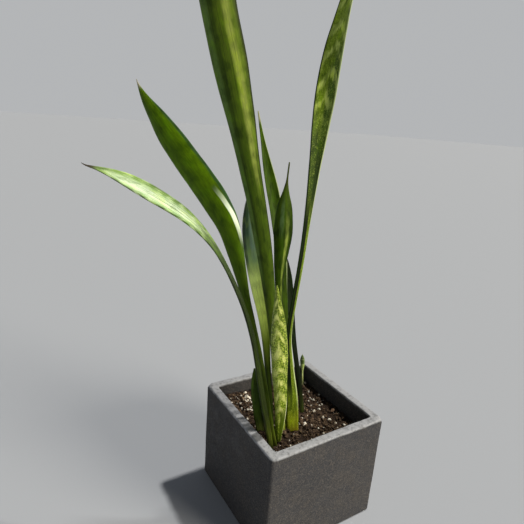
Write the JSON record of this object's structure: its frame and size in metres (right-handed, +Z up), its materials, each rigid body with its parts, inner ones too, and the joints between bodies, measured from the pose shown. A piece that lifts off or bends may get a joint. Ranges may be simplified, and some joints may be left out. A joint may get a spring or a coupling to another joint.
{
  "type": "potted snake plant",
  "caption": "Snake plant with upright, twisted and arching mottled leaves, growing from soil in a square straight-sided stone-look planter.",
  "frame": {"origin": "middle of the pot's flat underside, which stands on z = 0", "axes": "+Z up; X and Y run along the square pot's sides, with the leaf clump towards the -X, -Y corner"},
  "size_m": [0.2928, 0.1901, 0.6894],
  "materials": {
    "pot_stone": "matte",
    "potting_soil": "matte",
    "leaf_tall_centre": "satin",
    "leaf_tall_right": "satin",
    "leaf_left_broad": "satin",
    "leaf_left_arching": "satin",
    "leaf_back_narrow": "satin",
    "leaf_middle_pointed": "satin",
    "leaf_left_upright": "satin",
    "leaf_front_mottled": "satin",
    "leaf_back_dark": "satin",
    "leaf_left_short": "satin",
    "young_shoot": "satin",
    "perlite": "matte",
    "bark": "matte"
  },
  "bodies": {
    "root": {"pot": "pot_stone", "soil": "potting_soil", "leaf_tall_centre": "leaf_tall_centre", "leaf_tall_right": "leaf_tall_right", "leaf_left_broad": "leaf_left_broad", "leaf_left_arching": "leaf_left_arching", "leaf_back_narrow": "leaf_back_narrow", "leaf_middle_pointed": "leaf_middle_pointed", "leaf_left_upright": "leaf_left_upright", "leaf_front_mottled": "leaf_front_mottled", "leaf_back_dark": "leaf_back_dark", "leaf_left_short": "leaf_left_short", "young_shoot": "young_shoot", "perlite_01": "perlite", "perlite_02": "perlite", "perlite_03": "perlite", "perlite_04": "perlite", "perlite_05": "perlite", "perlite_06": "perlite", "perlite_07": "perlite", "perlite_08": "perlite", "perlite_09": "perlite", "perlite_10": "perlite", "perlite_11": "perlite", "perlite_12": "perlite", "perlite_13": "perlite", "bark_chip_1": "bark", "bark_chip_2": "bark", "bark_chip_3": "bark"}
  },
  "joints": []
}
